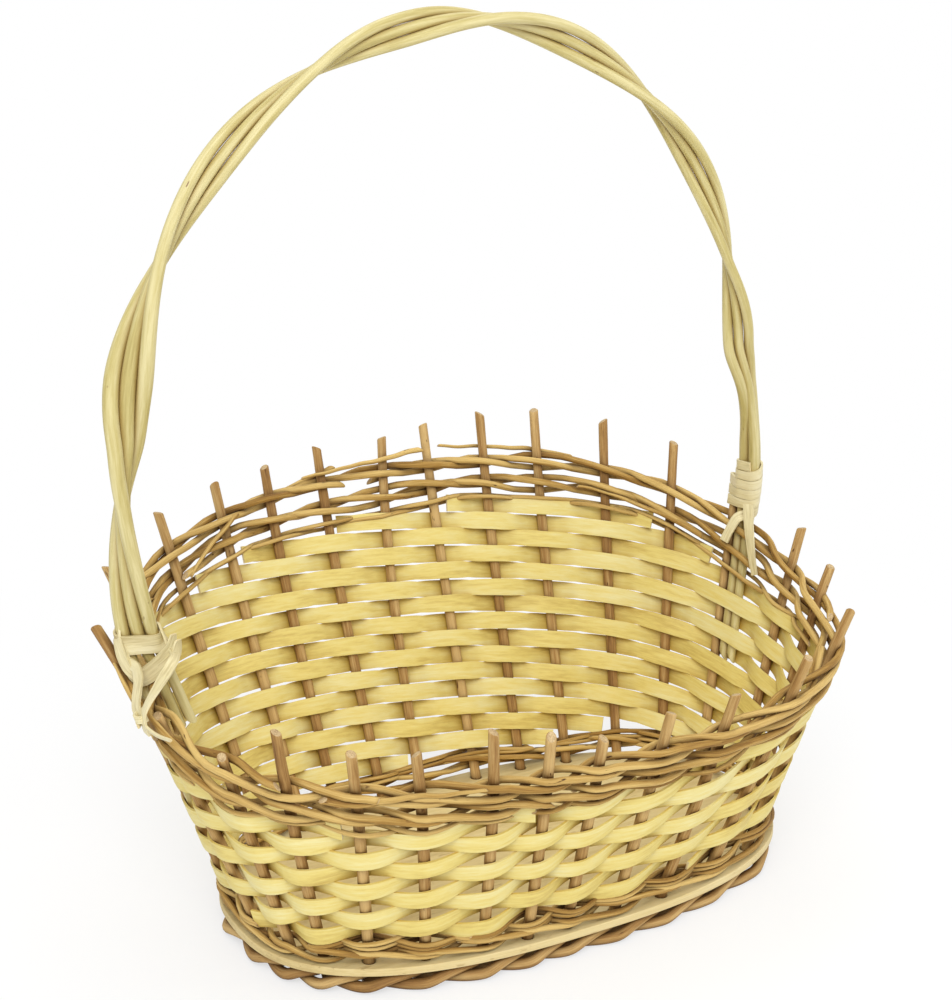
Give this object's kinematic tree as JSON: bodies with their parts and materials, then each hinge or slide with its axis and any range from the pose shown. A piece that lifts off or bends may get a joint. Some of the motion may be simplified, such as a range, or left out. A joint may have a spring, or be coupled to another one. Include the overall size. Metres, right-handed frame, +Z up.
{
  "type": "gift basket",
  "caption": "Oval woven willow basket with a drilled board base, a rim that sweeps up at the back and a tall twisted rod handle lashed at its feet.",
  "frame": {"origin": "on the ground under the middle of the whole basket", "axes": "+X along the long side, towards the handle's right foot as seen from the low front; +Y towards the high back wall; +Z up"},
  "size_m": [0.3766, 0.2674, 0.4316],
  "materials": {
    "board": "sanded, bare",
    "willow_stake": "bare, dry bark",
    "willow_rod": "bare, dry bark",
    "splint": "split, bare, slightly glossy",
    "peeled_rod": "peeled, smooth",
    "cane": "split cane, smooth"
  },
  "bodies": {
    "root": {"base_board": "board", "stake_01": "willow_stake", "stake_02": "willow_stake", "stake_03": "willow_stake", "stake_04": "willow_stake", "stake_05": "willow_stake", "stake_06": "willow_stake", "stake_07": "willow_stake", "stake_08": "willow_stake", "stake_09": "willow_stake", "stake_10": "willow_stake", "stake_11": "willow_stake", "stake_12": "willow_stake", "stake_13": "willow_stake", "stake_14": "willow_stake", "stake_15": "willow_stake", "stake_16": "willow_stake", "stake_17": "willow_stake", "stake_18": "willow_stake", "stake_19": "willow_stake", "stake_20": "willow_stake", "stake_21": "willow_stake", "stake_22": "willow_stake", "stake_23": "willow_stake", "stake_24": "willow_stake", "stake_25": "willow_stake", "stake_26": "willow_stake", "stake_27": "willow_stake", "foot_rod_01": "willow_rod", "foot_rod_02": "willow_rod", "foot_rod_03": "willow_rod", "splint_01": "splint", "splint_02": "splint", "splint_03": "splint", "splint_04": "splint", "splint_05": "splint", "splint_06": "splint", "splint_07": "splint", "splint_08": "splint", "splint_09": "splint", "splint_10": "splint", "splint_11": "splint", "splint_12": "splint", "splint_13": "splint", "border_rod_01": "willow_rod", "border_rod_02": "willow_rod", "border_rod_03": "willow_rod", "border_rod_04": "willow_rod", "border_rod_05": "willow_rod", "border_rod_06": "willow_rod", "handle_rod_01": "peeled_rod", "handle_rod_02": "peeled_rod", "handle_rod_03": "peeled_rod", "lashing_right": "cane", "lashing_left": "cane"}
  },
  "joints": []
}
